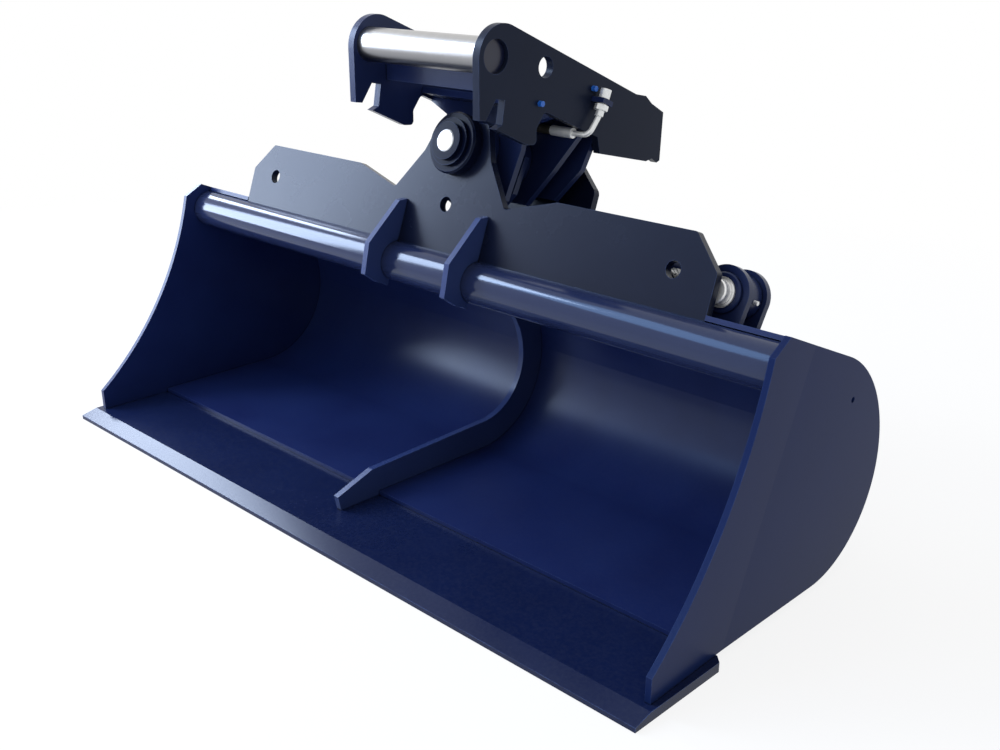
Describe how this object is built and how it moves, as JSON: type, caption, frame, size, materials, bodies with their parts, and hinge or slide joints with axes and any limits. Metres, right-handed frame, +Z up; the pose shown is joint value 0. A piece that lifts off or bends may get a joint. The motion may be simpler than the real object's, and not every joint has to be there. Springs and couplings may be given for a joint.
{
  "type": "tilt ditching bucket",
  "caption": "Wide smooth-lipped excavator ditching bucket with a hitch head that tilts on a central pivot, moved by a hydraulic cylinder.",
  "frame": {"origin": "on the floor, at the middle of the front lip of the cutting edge", "axes": "+X along the bucket's width toward the tilt cylinder, +Y from the lip to the back, +Z up"},
  "size_m": [1.53, 0.801, 0.858],
  "materials": {
    "bright_steel": "ground",
    "bronze": "machined",
    "edge_paint": "gloss",
    "hitch_pin_steel": "polished",
    "hose_rubber": "matt",
    "navy_paint": "gloss",
    "plug_plastic": "matt",
    "rod_chrome": "polished",
    "tube_paint": "gloss",
    "zinc_fittings": "zinc plated"
  },
  "bodies": {
    "bucket": {"base_pin_collar": "bright_steel", "boss_ring": "navy_paint", "bucket_shell": "navy_paint", "cutting_edge": "edge_paint", "cylinder_base_pin": "bright_steel", "cylinder_lug_front": "navy_paint", "cylinder_lug_rear": "navy_paint", "floor_rib": "navy_paint", "front_gusset_left": "navy_paint", "front_gusset_right": "navy_paint", "front_pivot_boss": "navy_paint", "front_tilt_plate": "navy_paint", "heel_bars": "navy_paint", "pin_cap": "navy_paint", "pivot_nut": "bright_steel", "pivot_nut_washer": "bright_steel", "pivot_pin": "bright_steel", "rear_gusset_left": "navy_paint", "rear_gusset_right": "navy_paint", "rear_pivot_boss": "navy_paint", "rear_tilt_plate": "navy_paint", "side_plate_left": "navy_paint", "side_plate_right": "navy_paint", "thrust_washers": "bronze", "torsion_tube": "tube_paint"},
    "head": {"blanking_plugs": "plug_plastic", "coupling_body": "zinc_fittings", "coupling_cap": "zinc_fittings", "coupling_clamp": "navy_paint", "coupling_nut": "zinc_fittings", "coupling_sleeve": "zinc_fittings", "elbow_pipe": "zinc_fittings", "front_cross_plate": "navy_paint", "head_base_plate": "navy_paint", "head_plate_left": "navy_paint", "head_plate_right": "navy_paint", "hook_pin": "hitch_pin_steel", "hose_ferrule": "zinc_fittings", "hydraulic_hose": "hose_rubber", "lever_lug": "navy_paint", "lever_pin": "bright_steel", "neck_bushes": "bronze", "neck_plate_front": "navy_paint", "neck_plate_middle": "navy_paint", "neck_plate_rear": "navy_paint", "neck_port_elbow": "zinc_fittings", "neck_tube": "navy_paint", "rear_cross_plate": "navy_paint", "rear_hitch_bar": "navy_paint"},
    "barrel": {"base_eye_nipple": "zinc_fittings", "cylinder_barrel": "navy_paint", "cylinder_gland": "navy_paint", "port_bosses": "navy_paint", "port_plugs": "zinc_fittings"},
    "rod": {"cylinder_piston": "rod_chrome", "cylinder_rod": "rod_chrome", "rod_eye": "navy_paint"}
  },
  "joints": [
    {"name": "tilt_pivot", "type": "hinge", "parent": "bucket", "child": "head", "pos_m": [0, 0.419, 0.636], "axis": [0, -0.9397, 0.342], "range_deg": [-35, 35]},
    {"name": "barrel_swing", "type": "hinge", "parent": "bucket", "child": "barrel", "pos_m": [0.584, 0.44424, 0.47144], "axis": [0, -0.9397, 0.342], "range_deg": [-1, 1]},
    {"name": "rod_travel", "type": "slide", "parent": "barrel", "child": "rod", "axis": [-0.9968, 0.0275, 0.0755], "range_m": [-0.0635, 0.0635]}
  ],
  "couplings": [
    {"joint": "barrel_swing", "follows": "tilt_pivot", "ratio": -0.014},
    {"joint": "rod_travel", "follows": "tilt_pivot", "m_per_rad": -0.1017}
  ]
}
